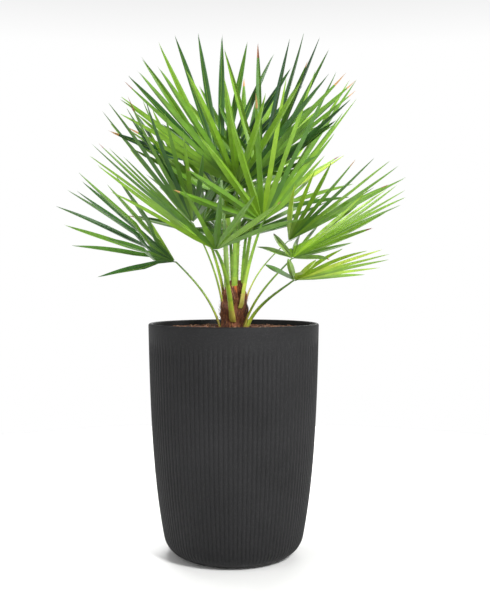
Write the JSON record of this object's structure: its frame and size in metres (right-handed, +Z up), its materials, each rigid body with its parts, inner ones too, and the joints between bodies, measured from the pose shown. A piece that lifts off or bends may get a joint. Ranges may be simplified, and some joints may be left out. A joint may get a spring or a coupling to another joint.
{
  "type": "potted european fan palm",
  "caption": "Young European fan palm with stiff green fan fronds on slim stalks, in a tall round charcoal pot with fine vertical ribs, filled with bark mix.",
  "frame": {"origin": "middle of the pot's flat underside", "axes": "+Z up along the pot's middle line, -Y towards the plant's front, +X to the front view's right"},
  "size_m": [0.7954, 0.8796, 1.2501],
  "materials": {
    "pot": "matt charcoal with fine vertical ribs",
    "soil": "loose red-brown bark mix",
    "trunk": "fibrous red-brown trunk",
    "stalk": "smooth yellow-green stalk with small thorns",
    "blade": "stiff satin green leaflets"
  },
  "bodies": {
    "root": {"pot": "pot", "soil": "soil", "trunk": "trunk", "stalk_left_low": "stalk", "stalk_front": "stalk", "stalk_left_mid": "stalk", "stalk_left_back": "stalk", "stalk_centre_front": "stalk", "stalk_top_left": "stalk", "stalk_top_right": "stalk", "stalk_right_upper": "stalk", "stalk_right_back": "stalk", "stalk_right_mid": "stalk", "stalk_right_low": "stalk", "stalk_back_low": "stalk", "stalk_back_left": "stalk", "stalk_back_right": "stalk", "stalk_back_upper": "stalk", "blade_left_low": "blade", "blade_front": "blade", "blade_left_mid": "blade", "blade_left_back": "blade", "blade_centre_front": "blade", "blade_top_left": "blade", "blade_top_right": "blade", "blade_right_upper": "blade", "blade_right_back": "blade", "blade_right_mid": "blade", "blade_right_low": "blade", "blade_back_low": "blade", "blade_back_left": "blade", "blade_back_right": "blade", "blade_back_upper": "blade"}
  },
  "joints": []
}
